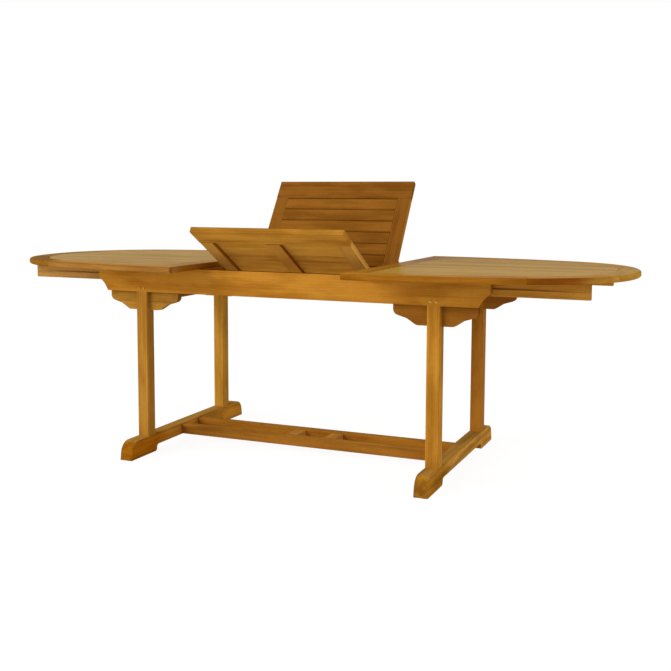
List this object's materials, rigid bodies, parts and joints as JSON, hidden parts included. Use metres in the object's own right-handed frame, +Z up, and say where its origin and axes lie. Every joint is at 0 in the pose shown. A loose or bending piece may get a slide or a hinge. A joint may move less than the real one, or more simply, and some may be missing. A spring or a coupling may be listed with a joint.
{
  "type": "extending dining table",
  "caption": "Oval slatted wooden dining table on trestles; its top halves slide apart and a hinged folding leaf swings up between them to make it longer.",
  "frame": {"origin": "on the floor, under the middle of the table", "axes": "+X along the table, +Y across it from the front to the back, +Z up"},
  "size_m": [2.432, 1.05, 1.0559],
  "materials": {
    "teak_top": "oiled, satin",
    "teak_frame": "oiled, satin",
    "teak_leaf": "oiled, satin",
    "brass": "satin"
  },
  "bodies": {
    "frame": {"apron_bolts": "brass", "far_apron": "teak_frame", "far_guide_strips": "teak_frame", "far_left_corbels": "teak_frame", "far_left_leg": "teak_frame", "far_right_corbels": "teak_frame", "far_right_leg": "teak_frame", "far_stretcher": "teak_frame", "leaf_pivot_bolts": "brass", "left_foot": "teak_frame", "left_leaf_rail": "teak_frame", "left_tie": "teak_frame", "left_trestle_rail": "teak_frame", "near_apron": "teak_frame", "near_guide_strips": "teak_frame", "near_left_corbels": "teak_frame", "near_left_leg": "teak_frame", "near_right_corbels": "teak_frame", "near_right_leg": "teak_frame", "near_stretcher": "teak_frame", "right_foot": "teak_frame", "right_leaf_rail": "teak_frame", "right_tie": "teak_frame", "right_trestle_rail": "teak_frame"},
    "left_top": {"left_battens": "teak_top", "left_end_rim": "teak_top", "left_far_runner": "teak_top", "left_far_shoulder_rim": "teak_top", "left_far_side_rim": "teak_top", "left_inner_rail": "teak_top", "left_near_runner": "teak_top", "left_near_shoulder_rim": "teak_top", "left_near_side_rim": "teak_top", "left_slats": "teak_top"},
    "right_top": {"right_battens": "teak_top", "right_end_rim": "teak_top", "right_far_runner": "teak_top", "right_far_shoulder_rim": "teak_top", "right_far_side_rim": "teak_top", "right_inner_rail": "teak_top", "right_near_runner": "teak_top", "right_near_shoulder_rim": "teak_top", "right_near_side_rim": "teak_top", "right_slats": "teak_top"},
    "far_wing": {"far_hinge_leaves": "brass", "far_wing_batten": "teak_leaf", "far_wing_edge_rail": "teak_leaf", "far_wing_pivot_blocks": "teak_leaf", "far_wing_slats": "teak_leaf", "far_wing_spine_rail": "teak_leaf", "far_wing_stiles": "teak_leaf", "hinge_pins": "brass"},
    "near_wing": {"near_hinge_leaves": "brass", "near_wing_batten": "teak_leaf", "near_wing_edge_rail": "teak_leaf", "near_wing_slats": "teak_leaf", "near_wing_spine_rail": "teak_leaf", "near_wing_stiles": "teak_leaf"}
  },
  "joints": [
    {"name": "right_slide", "type": "slide", "parent": "frame", "child": "right_top", "axis": [1, 0, 0], "range_m": [-0.0275, 0]},
    {"name": "left_slide", "type": "slide", "parent": "frame", "child": "left_top", "axis": [-1, 0, 0], "range_m": [-0.0275, 0]},
    {"name": "leaf_pivot", "type": "hinge", "parent": "frame", "child": "far_wing", "pos_m": [0, 0.132, 0.712], "axis": [1, 0, 0], "range_deg": [-56.3, 59.4]},
    {"name": "leaf_fold", "type": "hinge", "parent": "far_wing", "child": "near_wing", "pos_m": [0, 0.03131, 0.62049], "axis": [-1, 0, 0], "range_deg": [-86.6, 91.4]}
  ],
  "couplings": [
    {"joint": "leaf_fold", "follows": "leaf_pivot", "ratio": 1.5382}
  ]
}
